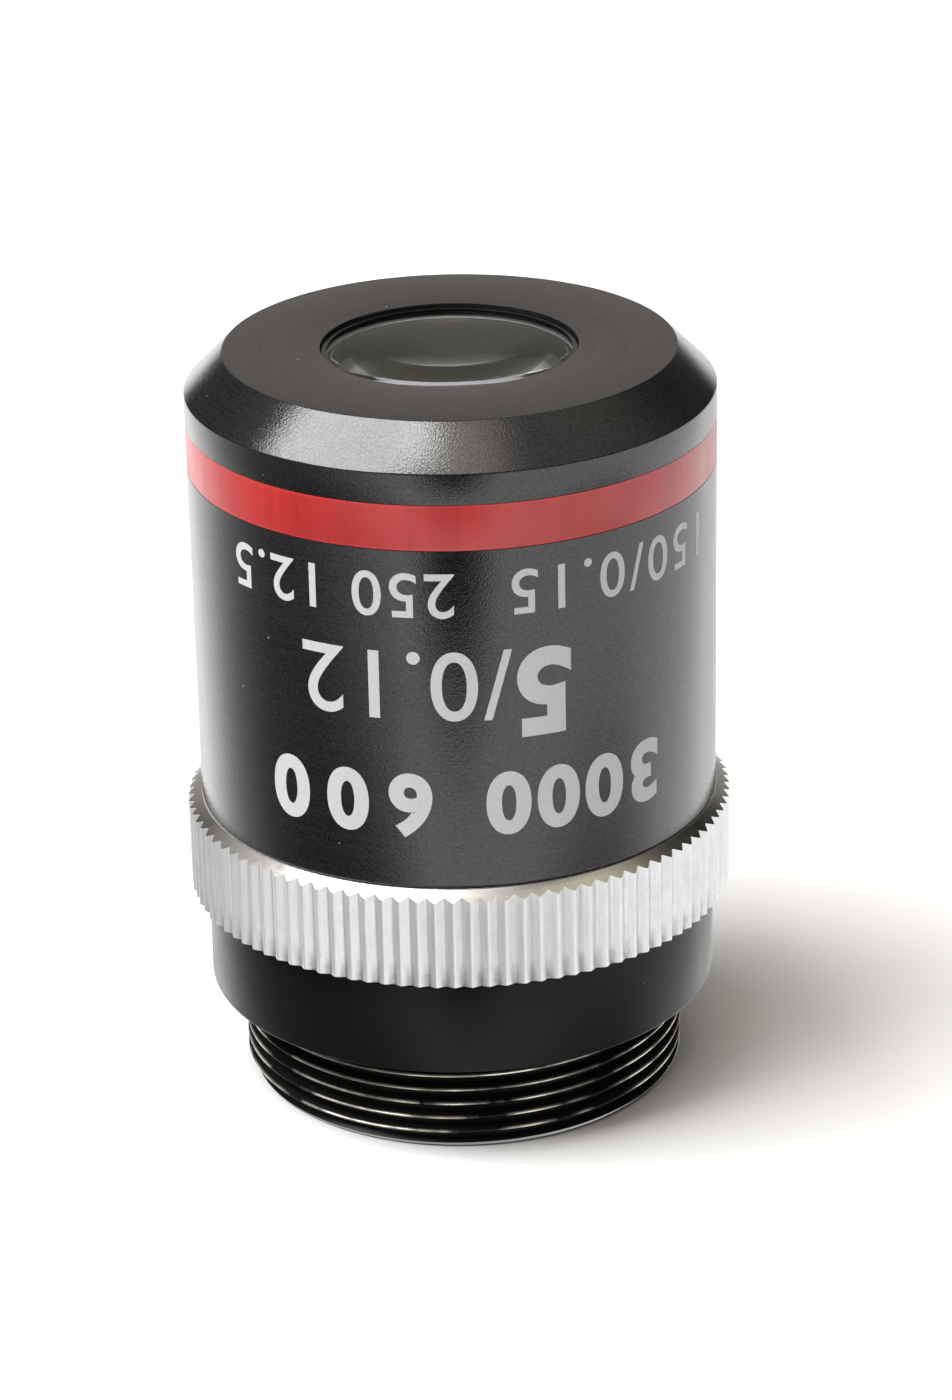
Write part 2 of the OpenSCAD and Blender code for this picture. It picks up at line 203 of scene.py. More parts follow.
def add(tree, kind, inputs=(), **settings):
    """A node with its settings, and inputs given as (socket, value or output) pairs."""
    node = tree.nodes.new(kind)
    for key, value in settings.items():
        setattr(node, key, value)
    for socket, value in inputs:
        if isinstance(value, bpy.types.NodeSocket):
            tree.links.new(value, node.inputs[socket])
        else:
            node.inputs[socket].default_value = value
    return node


def calc(tree, operation, *values):
    """Output of a Math node."""
    return add(tree, "ShaderNodeMath", list(enumerate(values)), operation=operation).outputs[0]


def product(tree, *values):
    """Output of values multiplied together."""
    result = values[0]
    for value in values[1:]:
        result = calc(tree, "MULTIPLY", result, value)
    return result


def mapped_place(tree):
    """Output of the place on the piece, in metres."""
    return add(tree, "ShaderNodeTexCoord").outputs["Object"]


def position(tree):
    """Outputs x, y, z of the place on the piece, and its distance from the axis, in metres."""
    place = mapped_place(tree)
    x, y, z = add(tree, "ShaderNodeSeparateXYZ", [(0, place)]).outputs
    squares = calc(tree, "ADD", product(tree, x, x), product(tree, y, y))
    return place, x, y, z, calc(tree, "SQRT", squares)


def stretched(tree, x, y, last, round_scale, last_scale):
    """Coordinates stretched round the axis, for grain left by a tool."""
    join = add(tree, "ShaderNodeCombineXYZ", [
        (0, product(tree, x, round_scale)),
        (1, product(tree, y, round_scale)),
        (2, product(tree, last, last_scale)),
    ])
    return join.outputs[0]


def noise(tree, vector, scale, detail=3, roughness=0.55):
    """Output of a Noise texture."""
    return add(tree, "ShaderNodeTexNoise", [
        ("Vector", vector), ("Scale", scale), ("Detail", detail), ("Roughness", roughness),
    ]).outputs["Fac"]


def tool_grain(tree, x, y, z, radius, round_scale, cut_scale, detail=3, roughness=0.55):
    """Noise drawn out round the axis, on upright and on flat faces alike."""
    across = calc(tree, "SUBTRACT", z, radius)
    return noise(tree, stretched(tree, x, y, across, round_scale, cut_scale), 1, detail, roughness)


def remap(tree, value, low, high, out_low, out_high):
    """Value mapped from one range to another, held at the ends."""
    return add(tree, "ShaderNodeMapRange", [
        (0, value), (1, low), (2, high), (3, out_low), (4, out_high)]).outputs[0]


def spread(tree, pattern, out_low, out_high):
    """A noise pattern's usual range mapped to another."""
    return remap(tree, pattern, NOISE_LOW, NOISE_HIGH, out_low, out_high)


def shade_of(colour, share, lift=0.0):
    """A darker or paler shade of a colour."""
    return [min(1, c * share + lift) for c in colour[:3]] + [1]


def blend_colours(tree, factor, first, second):
    """Colour between two colours or outputs."""
    mix = add(tree, "ShaderNodeMix", data_type="RGBA")
    for socket, value in ((0, factor), (6, first), (7, second)):
        if isinstance(value, bpy.types.NodeSocket):
            tree.links.new(value, mix.inputs[socket])
        else:
            mix.inputs[socket].default_value = value
    return mix.outputs[2]


def bump(tree, shader, height, distance):
    """Bump on the shader's normal from a height output, its full depth given in metres."""
    node = add(tree, "ShaderNodeBump", [("Strength", 1.0), ("Distance", distance), ("Height", height)])
    tree.links.new(node.outputs[0], shader.inputs["Normal"])


def dusty(tree, place, scale, size, colour):
    """A colour with small round specks of dust scattered over it."""
    cells = add(tree, "ShaderNodeTexVoronoi", [("Vector", place), ("Scale", scale)])
    chance = add(tree, "ShaderNodeSeparateColor", [(0, cells.outputs["Color"])]).outputs[0]
    in_speck = calc(tree, "LESS_THAN", cells.outputs["Distance"], size)
    dust = product(tree, in_speck, calc(tree, "GREATER_THAN", chance, CLEAN_SHARE), DUST_COVER)
    return blend_colours(tree, dust, colour, DUST_GREY)


# %% [markdown]
# The barrel is aluminium, turned, lightly blasted and dyed black in the anodising bath. It could
# be a plain dark gloss, but then its front face and chamfer would look like plastic. A fine
# blasted noise spreads each reflection, faint turned grain crosses it, and a little dust lies on
# top, as on the real one.

# %% Black anodised finish
def black_anodised(name, colour, roughness, grain_depth, blast_depth, reflection=0.5):
    """Dyed metal, with the depth of its turned grain and of its blasting in metres."""
    material, tree, shader = new_finish(name)
    place, x, y, z, radius = position(tree)
    lines = tool_grain(tree, x, y, z, radius, round_scale=60, cut_scale=14000)
    blast = noise(tree, place, 12000, detail=1, roughness=0.5)
    cloud = noise(tree, place, 220)
    mottle = calc(tree, "ADD", product(tree, blast, 0.6), product(tree, lines, 0.4))
    dyed = blend_colours(tree, spread(tree, mottle, 0, 1), shade_of(colour, 0.2), shade_of(colour, 3))
    tree.links.new(dusty(tree, place, 760, 0.045, dyed), shader.inputs["Base Color"])
    tree.links.new(spread(tree, cloud, roughness - 0.03, roughness + 0.03), shader.inputs["Roughness"])
    shader.inputs["IOR"].default_value = GLOSS_IOR
    # The export drops a linked level, and then takes the socket's own value
    shader.inputs["Specular IOR Level"].default_value = reflection
    glint = spread(tree, blast, reflection * 0.85, reflection * 1.15)
    tree.links.new(glint, shader.inputs["Specular IOR Level"])
    height = calc(tree, "ADD", product(tree, lines, grain_depth), product(tree, blast, blast_depth))
    bump(tree, shader, height, 1.0)
    return material


barrel_dye = (0.0058, 0.0056, 0.0058, 1)
barrel_black = black_anodised(
    "black_anodised", barrel_dye, roughness=0.13, grain_depth=0.0008 * MM, blast_depth=0.008 * MM)
print("finish", barrel_black.name)

# %% [markdown]
# The barrel is one tube with a thick front plate. Its outside has a 45 degree chamfer and a
# shallow groove for the enamel band, and its opening is coned from behind so that the nose of the
# front cell can come through. The outline goes round the wall once, outside and inside.

# %% Barrel
barrel_r, barrel_z, face_z = span("outer_sleeve")
_, band_z, band_top_z = span("colour_band")
chamfer = 1.76
groove = 0.12
groove_edge = 0.015
opening_r = 5.70
land_z = face_z - 0.43
plate_z = face_z - 1.70
bore_r = 10.30
rear_thread_r = 10.68
rear_thread_z = 13.16

barrel = turn("barrel", [
    (rear_thread_r, barrel_z, 0.05),
    (barrel_r, barrel_z, 0.12),
    (barrel_r, band_z, groove_edge),
    (barrel_r - groove, band_z, 0),
    (barrel_r - groove, band_top_z, 0),
    (barrel_r, band_top_z, groove_edge),
    (barrel_r, face_z - chamfer, 0.05),
    (barrel_r - chamfer, face_z, 0.05),
    (opening_r, face_z, 0.03),
    (opening_r, land_z, 0),
    (opening_r + land_z - plate_z, plate_z, 0),
    (bore_r, plate_z, 0),
    (bore_r, rear_thread_z, 0),
    (rear_thread_r, rear_thread_z, 0),
])
finish_piece(barrel, barrel_black, "black_anodised", "outer_sleeve")

# %% [markdown]
# Red enamel fills the groove and is rubbed flush with the barrel. It is glossier than the black
# and slightly uneven: faint streaks run along the axis where it was wiped, and it thins at its
# edges. The streaks follow the angle round the axis, so they need x and y only.

# %% Enamel band
enamel_red = (0.40, 0.015, 0.014, 1)
enamel_gap = 0.01
enamel_sink = 0.004
thin_edge = 0.16


def red_enamel(name, colour, edge_low, edge_high):
    """Enamel between two heights in mm, thinner and paler towards both."""
    material, tree, shader = new_finish(name)
    place, x, y, z, _ = position(tree)
    streaks = noise(tree, stretched(tree, x, y, z, round_scale=1500, last_scale=60), 1, detail=4)
    cloud = noise(tree, place, 500)
    middle = (edge_low + edge_high) / 2
    half = (edge_high - edge_low) / 2
    off_middle = calc(tree, "ABSOLUTE", calc(tree, "SUBTRACT", z, middle * MM))
    thin = remap(tree, off_middle, (half - thin_edge) * MM, half * MM, 0, 0.45)
    wiped = blend_colours(tree, remap(tree, streaks, 0.35, 0.68, 0, 1), shade_of(colour, 0.8), colour)
    enamel = blend_colours(tree, thin, wiped, shade_of(colour, 1.35, 0.02))
    tree.links.new(enamel, shader.inputs["Base Color"])
    tree.links.new(spread(tree, cloud, 0.24, 0.34), shader.inputs["Roughness"])
    shader.inputs["IOR"].default_value = GLOSS_IOR
    bump(tree, shader, streaks, 0.003 * MM)
    return material


band_red = red_enamel("red_enamel", enamel_red, band_z, band_top_z)
band = turn("enamel_band", [
    (barrel_r - groove, band_z + enamel_gap, 0),
    (barrel_r - enamel_sink, band_z + enamel_gap, 0.03),
    (barrel_r - enamel_sink, band_top_z - enamel_gap, 0.03),
    (barrel_r - groove, band_top_z - enamel_gap, 0),
])
finish_piece(band, band_red, "red_enamel", "colour_band")

# %% [markdown]
# The grip ring is bright aluminium with a hundred straight grooves, rolled in and then faced with
# a polished cone at each end. A groove could be cut a hundred times, but it is easier to turn the
# ring from a circle whose points come twelve to a groove, and then to move each twelfth of them
# together: one column is the bottom of all grooves, one the crest of all ridges. Where a column
# meets a cone its ends slide along the cone, so both ends come out exact.

# %% Grip ring
_, neck_z, ring_top_z = span("knurled_ring")
ring_r = 12.44
ring_z = neck_z + 0.24
ring_bore_r = 11.23
neck_r = 11.36
knurls = 100
knurl_depth = 0.27
front_cone_w, front_cone_h = 0.64, 0.38
rear_cone_w, rear_cone_h = 0.40, 0.08

# Place of each column in its pitch, and its depth, both as shares
knurl_shares = [
    (0.00, 1.00), (0.04, 0.95), (0.17, 0.66), (0.30, 0.36), (0.41, 0.11), (0.465, 0.02),
    (0.50, 0.00), (0.535, 0.02), (0.59, 0.11), (0.70, 0.36), (0.83, 0.66), (0.96, 0.95),
]
columns = len(knurl_shares)
most_shift = 0.035
least_rise = 0.9
crest_band = 0.01

ring = turn("grip_ring", [
    (ring_r - rear_cone_w, ring_z, 0),
    (ring_r, ring_z + rear_cone_h, 0),
    (ring_r, ring_top_z - front_cone_h, 0),
    (ring_r - front_cone_w, ring_top_z, 0.02),
    (ring_bore_r, ring_top_z, 0.02),
    (ring_bore_r, neck_z, 0),
    (neck_r, neck_z, 0),
    (neck_r, ring_z, 0),
], segments=knurls * columns)

random.seed(11)
uneven = [(random.uniform(-most_shift, most_shift), random.uniform(least_rise, 1.0)) for _ in range(knurls)]
for vertex in ring.data.vertices:
    x, y, z = vertex.co / MM
    radius = math.hypot(x, y)
    column = round((math.atan2(y, x) / math.tau) % 1 * knurls * columns) % (knurls * columns)
    knurl, part = divmod(column, columns)
    place, depth = knurl_shares[part]
    shift, share = uneven[knurl]
    if part:
        place += shift
    angle = (knurl + place) / knurls * math.tau
    if radius > ring_r - crest_band:
        radius = ring_r - knurl_depth * (depth if part == 0 else 1 - (1 - depth) * share)
        if z < (ring_z + ring_top_z) / 2:
            z = ring_z + (radius - ring_r + rear_cone_w) * rear_cone_h / rear_cone_w
        else:
            z = ring_top_z - (radius - ring_r + front_cone_w) * front_cone_h / front_cone_w
    vertex.co = Vector((math.cos(angle) * radius, math.sin(angle) * radius, z)) * MM
print("ridges", knurls, "points", len(ring.data.vertices))

# %% [markdown]
# Bare aluminium is soft, so the ring has drawn lines along its grooves and scuffs on its ridges.
# The grooves are grey at their very bottom, and painted shade greys them towards their lower ends.
# The front cone stays polished. The depth of a place below the crest and its height say which is
# which, and the angle round the axis gives the drawn lines.

# %% Bright aluminium
satin_dark, satin_pale = (0.72, 0.72, 0.725, 1), (0.80, 0.80, 0.80, 1)
polish_dark, polish_pale = (0.72, 0.71, 0.68, 1), (0.82, 0.81, 0.78, 1)
# Grey for the groove bottoms and for the painted shade low in the grooves, and how high that shade reaches
groove_and_shade_grey = (0.16, 0.155, 0.15, 1)
painted_shade_reach = 1.2
cone_margin = 0.012
crest_wear = 0.02


def bright_aluminium(name, crest_r):
    """Satin ridges and a polished front cone, for a ring with its crest at a radius in mm."""
    material, tree, shader = new_finish(name)
    place, x, y, z, radius = position(tree)
    along = stretched(tree, x, y, z, round_scale=9000, last_scale=500)
    drawn = noise(tree, along, 1, detail=4, roughness=0.65)
    turned = tool_grain(tree, x, y, z, radius, round_scale=60, cut_scale=16000, roughness=0.6)
    scuffs = noise(tree, place, 2600, detail=4, roughness=0.7)

    below_crest = calc(tree, "SUBTRACT", crest_r * MM, radius)
    cone_rise = product(tree, below_crest, front_cone_h / front_cone_w)
    cone_z = calc(tree, "ADD", cone_rise, (ring_top_z - front_cone_h) * MM)
    cone = calc(tree, "GREATER_THAN", calc(tree, "SUBTRACT", z, cone_z), -cone_margin * MM)
    off_cone = calc(tree, "SUBTRACT", 1.0, cone)

    deep = remap(tree, radius, (crest_r - knurl_depth) * MM, (crest_r - crest_wear) * MM, 1, 0)
    # Painted shade: deep places turn grey towards the ring's lower end
    low_end = remap(tree, z, ring_z * MM, (ring_z + painted_shade_reach) * MM, 0.75, 0.0)
    low_painted_shade = product(tree, remap(tree, deep, 0.3, 0.8, 0, 1), low_end)
    # The very bottoms of the grooves turn grey as well
    groove_dark_and_shade = calc(tree, "MAXIMUM", remap(tree, deep, 0.9, 1, 0, 0.2), low_painted_shade)
    groove_dark_and_shade = product(tree, groove_dark_and_shade, spread(tree, scuffs, 0.5, 1), off_cone)

    satin = blend_colours(tree, spread(tree, drawn, 0, 1), satin_dark, satin_pale)
    satin = blend_colours(tree, groove_dark_and_shade, satin, groove_and_shade_grey)
    polished = blend_colours(tree, spread(tree, turned, 0, 1), polish_dark, polish_pale)
    tree.links.new(blend_colours(tree, cone, satin, polished), shader.inputs["Base Color"])
    shader.inputs["Metallic"].default_value = 1
    satin_rough = remap(tree, scuffs, 0.3, 0.75, 0.54, 0.70)
    polish_rough = remap(tree, scuffs, 0.3, 0.75, 0.16, 0.24)
    rough = calc(tree, "ADD", product(tree, satin_rough, off_cone), product(tree, polish_rough, cone))
    tree.links.new(rough, shader.inputs["Roughness"])

    ridges = calc(tree, "ADD", product(tree, drawn, 0.006 * MM), product(tree, scuffs, 0.004 * MM))
    height = calc(tree, "ADD", product(tree, ridges, off_cone), product(tree, turned, cone, 0.0012 * MM))
    bump(tree, shader, height, 1.0)
    return material


ring_metal = bright_aluminium("bright_aluminium", ring_r)
finish_piece(ring, ring_metal, "bright_aluminium", "knurled_ring")

# %% [markdown]
# Under the ring the mount is black and reflects less than the barrel. It has a square shoulder and
# the standard thread of 36 turns to the inch. A thread can be faked with rings, but then it never
# climbs. One groove and crest are drawn as a short profile, and the Screw modifier winds it up the
# axis by one pitch a turn. The ends are cut flat and closed into the core.

# %% Mount body
base_r, thread_end_z, nose_top_z = span("mount_body")
thread_r = 10.16
thread_root_r = 9.71
thread_full_z = -4.3
thread_pitch = 25.4 / 36
relief_z = -0.55
rear_bore_r = 8.70
ledge_r = 6.80
ledge_z = 2.20
stop_z = -1.20
seat_r = 11.20
nose_r = 10.65
body_bore_r = 8.41
lead_r = thread_r + thread_end_z - thread_full_z
lead_cover = 0.01
root_cover = 0.02

mount = turn("mount", [
    (rear_bore_r, thread_end_z, 0.08),
    (lead_r - lead_cover, thread_end_z, 0),
    (lead_r - lead_cover, thread_full_z, 0),
    (thread_root_r - root_cover, thread_full_z, 0),
    (thread_root_r - root_cover, 0, 0.05),
    (base_r, 0, 0.12),
    (base_r, neck_z, 0.12),
    (seat_r, neck_z, 0),
    (seat_r, ring_top_z, 0),
    (nose_r, ring_top_z, 0),
    (nose_r, nose_top_z, 0.1),
    (body_bore_r, nose_top_z, 0),
    (body_bore_r, ledge_z, 0),
    (ledge_r, ledge_z, 0.05),
    (ledge_r, stop_z, 0),
    (rear_bore_r, stop_z, 0),
])

# %% Thread
# Places along one pitch and heights above the root, both as shares
crest_shares = [
    (0.00, 0.00), (0.08, 0.02), (0.17, 0.12), (0.40, 0.88), (0.46, 0.98),
    (0.54, 0.98), (0.60, 0.88), (0.83, 0.12), (0.92, 0.02), (1.00, 0.00),
]
WINDING_STEPS = 144
CUT_TOLERANCE = MERGE / 100
end_wall = 0.2
thread_turns = math.ceil((relief_z - thread_end_z) / thread_pitch) + 1
thread_start_z = thread_end_z - thread_pitch

deselect()
bpy.ops.mesh.primitive_plane_add(size=MM)
thread = bpy.context.object
thread.name = "thread"
bpy.ops.object.mode_set(mode="EDIT")
bpy.ops.mesh.select_all(action="SELECT")
bpy.ops.mesh.merge(type="CENTER")
bpy.ops.transform.translate(value=(thread_root_r * MM, 0, thread_start_z * MM))
last_place, last_rise = crest_shares[0]
for place, rise in crest_shares[1:]:
    run = (place - last_place) * thread_pitch
    climb = (rise - last_rise) * (thread_r - thread_root_r)
    bpy.ops.mesh.extrude_region_move(TRANSFORM_OT_translate={"value": Vector((climb, 0, run)) * MM})
    last_place, last_rise = place, rise
bpy.ops.object.mode_set(mode="OBJECT")
screw = thread.modifiers.new("winding", "SCREW")
screw.axis = "Z"
screw.screw_offset = thread_pitch * MM
screw.iterations = thread_turns
screw.steps = WINDING_STEPS
screw.render_steps = WINDING_STEPS
screw.use_merge_vertices = True
screw.merge_threshold = MERGE
bpy.ops.object.modifier_apply(modifier=screw.name)

bpy.ops.object.mode_set(mode="EDIT")
inward = (thread_root_r - end_wall) / thread_r
for height, direction in ((thread_end_z, -1), (relief_z, 1)):
    bpy.ops.mesh.select_all(action="SELECT")
    bpy.ops.mesh.bisect(
        plane_co=(0, 0, height * MM), plane_no=(0, 0, direction), clear_outer=True, threshold=CUT_TOLERANCE)
    bpy.ops.mesh.extrude_region_move(TRANSFORM_OT_translate={"value": (0, 0, 0)})
    bpy.ops.transform.resize(value=(inward, inward, 1), center_override=(0, 0, height * MM))
bpy.ops.mesh.select_all(action="SELECT")
bpy.ops.mesh.normals_make_consistent(inside=False)
bpy.ops.object.mode_set(mode="OBJECT")
for vertex in thread.data.vertices:
    x, y, z = vertex.co / MM
    radius = math.hypot(x, y)
    most = thread_r - max(0, thread_full_z - z)
    if radius > most:
        vertex.co = Vector((x * most / radius, y * most / radius, z)) * MM
deselect()
thread.select_set(True)
mount.select_set(True)
bpy.context.view_layer.objects.active = mount
bpy.ops.object.join()
print("thread of", round((relief_z - thread_end_z) / thread_pitch, 1), "turns")

# %% [markdown]
# The mount's black is worn where it meets other metal. The crests of the thread rub bright each
# time the objective is screwed in, so the finish turns from black to bare metal with the radius
# there, broken up by noise.

# %% Mount finish
mount_dye = (0.006, 0.006, 0.0065, 1)
bare_metal = (0.62, 0.58, 0.5, 1)
wear_depth = 0.09
wear_full_depth = 0.015
thread_side_z = -0.2


def mount_finish(name, colour, roughness, crest_r):
    """Black that is worn to metal towards the thread's crest, at a radius in mm."""
    material, tree, shader = new_finish(name)
    place, x, y, z, radius = position(tree)
    lines = tool_grain(tree, x, y, z, radius, round_scale=80, cut_scale=9000, detail=4)
    cloud = noise(tree, place, 400, detail=4)
    below = calc(tree, "LESS_THAN", z, thread_side_z * MM)
    crests = remap(tree, radius, (crest_r - wear_depth) * MM, (crest_r - wear_full_depth) * MM, 0, 1)
    worn = product(tree, crests, below, remap(tree, cloud, 0.38, 0.6, 0, 0.85))
    dyed = dusty(tree, place, 620, 0.05, colour)
    tree.links.new(blend_colours(tree, worn, dyed, bare_metal), shader.inputs["Base Color"])
    tree.links.new(worn, shader.inputs["Metallic"])
    tree.links.new(spread(tree, cloud, roughness - 0.04, roughness + 0.06), shader.inputs["Roughness"])
    shader.inputs["IOR"].default_value = GLOSS_IOR
    shader.inputs["Specular IOR Level"].default_value = 0.09
    bump(tree, shader, product(tree, lines, 0.001 * MM), 1.0)
    return material


mount_black = mount_finish("black_mount", mount_dye, roughness=0.22, crest_r=thread_r)
finish_piece(mount, mount_black, "black_mount", "mount_body")
dress(mount_black, "rear_stop")

# %% [markdown]
# Inside, the cells, spacers and stop are dyed matte black so that no stray light gets past them.
# Only the front cell shows, as a thin rim turned over the edge of the front lens, so it alone is
# modelled again with soft edges. The others keep their CAD meshes and get the finish.

# %% Matte black inside
cell_dye = (0.003, 0.003, 0.0032, 1)
cell_black = black_anodised(
    "cell_black", cell_dye, roughness=0.7, grain_depth=0.0015 * MM, blast_depth=0.002 * MM, reflection=0.06)
dress(
    cell_black, "second_cell", "middle_cell", "rear_cell", "second_retainer", "middle_retainer",
    "rear_retainer", "front_spacer", "middle_spacer", "rear_spacer", "aperture_stop",
)
print("finish", cell_black.name)

# %% [markdown]
# Seen at a slant, the thick front lens bends the look onto its own seat, so the near edge shows a
# pale crescent and an orange line: bare metal where the lens was burnished in, and the bare corner
# of the ring that holds it. That could be painted on the glass, but then it would stay when the
# camera moves. Here the metal itself is bare in those places. A lens gathers more light there than
# so short a render finds, so the bare metal also gets a faint painted glow that makes up for it.

# %% Front cell, worn seat and painted glow
_, cell_z, rim_top_z = span("front_cell")
tube_outer_r = 7.93
cell_r = 7.30
nose_out_r = 5.66
lens_bore_r = 5.52
pocket_r = lens_bore_r + 0.35
rim_in_r = 5.42
retainer_bore_r = 4.95
rim_under_z = rim_top_z - 0.08
flange_top_z = plate_z - 0.20
cone_top_z = land_z - 0.10
_, _, tube_front_z = span("inner_tube")
pocket_top_z = 27.94
bore_margin = 0.02
scrape_half, scrape_depth = 0.38, 0.07
nick_left, nick_right, nick_depth = -0.055, 0.02, 0.19
seat_height = 0.3
rear_rim_height, rear_rim_share = 0.06, 0.06
seat_black = (0.004, 0.004, 0.004, 1)
# Colours of the bare metal, which its painted glow shares
warm_metal_and_glow = (0.9, 0.55, 0.22, 1)
cool_metal_and_glow = (0.93, 0.9, 0.95, 1)


def bare_and_glowing_part(name, bare_and_glow_colour, bare_mask, painted_glow, roughness, reflection):
    """Black with bare metal where a mask says so, and on it a painted glow for the light a lens gathers."""
    material, tree, shader = new_finish(name)
    bare = bare_mask(tree, *position(tree))
    tree.links.new(blend_colours(tree, bare, seat_black, bare_and_glow_colour), shader.inputs["Base Color"])
    # Painted glow: the bare places give off light in their own colour
    tree.links.new(product(tree, bare, painted_glow), shader.inputs["Emission Strength"])
    shader.inputs["Emission Color"].default_value = bare_and_glow_colour
    shader.inputs["Roughness"].default_value = roughness
    shader.inputs["Specular IOR Level"].default_value = reflection
    return material


def between(tree, value, low, high):
    """1 where the value lies between two sizes in mm, 0 elsewhere."""
    above = calc(tree, "GREATER_THAN", value, low * MM)
    return product(tree, above, calc(tree, "LESS_THAN", value, high * MM))


def retainer_wear_and_glow(tree, place, x, y, z, radius):
    """A scrape along the near side of the retainer's corner, with a deeper nick in it, both bare and
    glowing.
    """
    _, _, top_z = span("front_retainer")
    bore = between(tree, radius, 0, retainer_bore_r + bore_margin)
    near_side = calc(tree, "LESS_THAN", y, 0)
    scrape_z = between(tree, z, top_z - scrape_depth, top_z)
    scrape = product(tree, between(tree, x, -scrape_half, scrape_half), scrape_z)
    nick_z = between(tree, z, top_z - nick_depth, top_z)
    nick = product(tree, between(tree, x, nick_left, nick_right), nick_z)
    return product(tree, near_side, bore, calc(tree, "MAXIMUM", scrape, nick))


def seat_wear_and_glow(tree, place, x, y, z, radius):
    """Bare metal where the lens was burnished in, and a trace of it on the cell's rear rim, all of it
    glowing too.
    """
    wear = remap(tree, noise(tree, place, 1500), 0.35, 0.6, 0.75, 1)
    seat_z = between(tree, z, pocket_top_z, pocket_top_z + seat_height)
    seat = product(tree, seat_z, between(tree, radius, 0, lens_bore_r + bore_margin))
    rear_rim = product(tree, between(tree, z, 0, cell_z + rear_rim_height), rear_rim_share)
    return product(tree, wear, calc(tree, "MAXIMUM", seat, rear_rim))


# Both finishes glow faintly where they are bare, a painted light
worn_glowing_retainer = bare_and_glowing_part(
    "worn_glowing_retainer", warm_metal_and_glow, retainer_wear_and_glow, painted_glow=0.12, roughness=0.6, reflection=0.06)
worn_glowing_cell = bare_and_glowing_part("worn_glowing_cell", cool_metal_and_glow, seat_wear_and_glow, painted_glow=0.5, roughness=0.25, reflection=0.42)
dress(worn_glowing_retainer, "front_retainer")

front_cell = turn("front_cell_turned", [
    (pocket_r, cell_z, 0.03),
    (cell_r, cell_z, 0.05),
    (cell_r, tube_front_z, 0),
    (tube_outer_r, tube_front_z, 0.05),
    (tube_outer_r, flange_top_z, 0.05),
    (nose_out_r + cone_top_z - flange_top_z, flange_top_z, 0),
    (nose_out_r, cone_top_z, 0.03),
    (nose_out_r, rim_top_z, 0.03),
    (rim_in_r, rim_top_z, 0.02),
    (rim_in_r, rim_under_z, 0),
    (lens_bore_r, rim_under_z, 0),
    (lens_bore_r, pocket_top_z, 0),
    (pocket_r, pocket_top_z, 0),
])
finish_piece(front_cell, worn_glowing_cell, "cell_black", "front_cell")

# %% [markdown]
# A lens is two spherical caps and a ground edge. A cap could be cut from a sphere, but then its
# rings bunch up in the wrong place. Here the outline follows each arc in even steps from the pole
# to the edge, so the curvature is smooth where reflections show. The CAD box gives each lens its
# poles: a domed surface reaches the box at the axis, and a hollow one reaches it at the edge. The
# edge is ground and painted black against stray light, all but a bare strip on the front lens.

# %% Lenses
ARC_STEPS = 20
LENS_STEPS = 192
CEMENT = 0.006
LENS_CHAMFER = 0.07
STRIP_BLUR = 0.03
FILM_IOR = 1.38
edge_paint = (0.012, 0.011, 0.013, 1)
edge_bare = (0.42, 0.38, 0.45, 1)
film_tint = (0.9, 1.0, 0.93, 1)
front_strip = (28.1, 28.3)
no_strip = (0, 0.1)


def arc(radius, edge_r, pole_z, side):
    """Points from near the pole to the edge. Side is the way the surface falls away from its pole."""
    top = math.asin(edge_r / radius)
    steps = [top * i / ARC_STEPS for i in range(1, ARC_STEPS + 1)]
    return [(radius * math.sin(a), pole_z + side * radius * (1 - math.cos(a)), 0) for a in steps]


def glass_lens(node, rear, front, rear_gap=0.0):
    """Lens between two radii in mm, domed if positive and hollow if negative."""
    edge_r, low, high = span(node)
    low += rear_gap
    clear_r = edge_r - LENS_CHAMFER
    sag = {r: abs(r) - math.sqrt(r * r - clear_r * clear_r) for r in (rear, front)}
    rear_pole = low if rear > 0 else low + sag[rear]
    front_pole = high if front > 0 else high - sag[front]
    rear_arc = arc(abs(rear), clear_r, rear_pole, 1 if rear > 0 else -1)
    front_arc = arc(abs(front), clear_r, front_pole, -1 if front > 0 else 1)
    rear_edge = (edge_r, rear_arc[-1][1] + LENS_CHAMFER, 0)
    front_edge = (edge_r, front_arc[-1][1] - LENS_CHAMFER, 0)
    outline = rear_arc + [rear_edge, front_edge] + front_arc[::-1]
    return turn(node + "_ground", outline, segments=LENS_STEPS, closed=False)


def glass(name, edge_r, ior, colour, film, strip):
    """Glass with a film in nanometres, and an edge painted black but for a strip between two heights."""
    material, tree, shader = new_finish(name)
    place, _, _, z, radius = position(tree)
    haze = noise(tree, place, 900)
    ground = calc(tree, "GREATER_THAN", radius, (edge_r - LENS_CHAMFER) * MM)
    polish = remap(tree, haze, 0.45, 0.8, 0.0, 0.012)
    rough = calc(tree, "MAXIMUM", polish, product(tree, ground, 0.5))
    tree.links.new(rough, shader.inputs["Roughness"])
    tree.links.new(calc(tree, "SUBTRACT", 1.0, ground), shader.inputs["Transmission Weight"])
    clear = blend_colours(tree, haze, colour, shade_of(colour, 0.985))
    low, high = strip
    over_low = remap(tree, z, low * MM, (low + STRIP_BLUR) * MM, 0, 1)
    under_high = remap(tree, z, (high - STRIP_BLUR) * MM, high * MM, 1, 0)
    edge = blend_colours(tree, product(tree, over_low, under_high), edge_paint, edge_bare)
    tree.links.new(blend_colours(tree, ground, clear, edge), shader.inputs["Base Color"])
    shader.inputs["IOR"].default_value = ior
    shader.inputs["Specular Tint"].default_value = film_tint
    shader.inputs["Thin Film Thickness"].default_value = film
    shader.inputs["Thin Film IOR"].default_value = FILM_IOR
    return material


# For each kind of glass: its index, colour, film and bare strip
glass_kinds = {
    "coated_glass": (1.52, (0.98, 1.0, 0.985, 1), 125, front_strip),
    "crown_glass": (1.52, (0.985, 1.0, 0.99, 1), 0, no_strip),
    "flint_glass": (1.65, (1.0, 0.995, 0.96, 1), 0, no_strip),
}
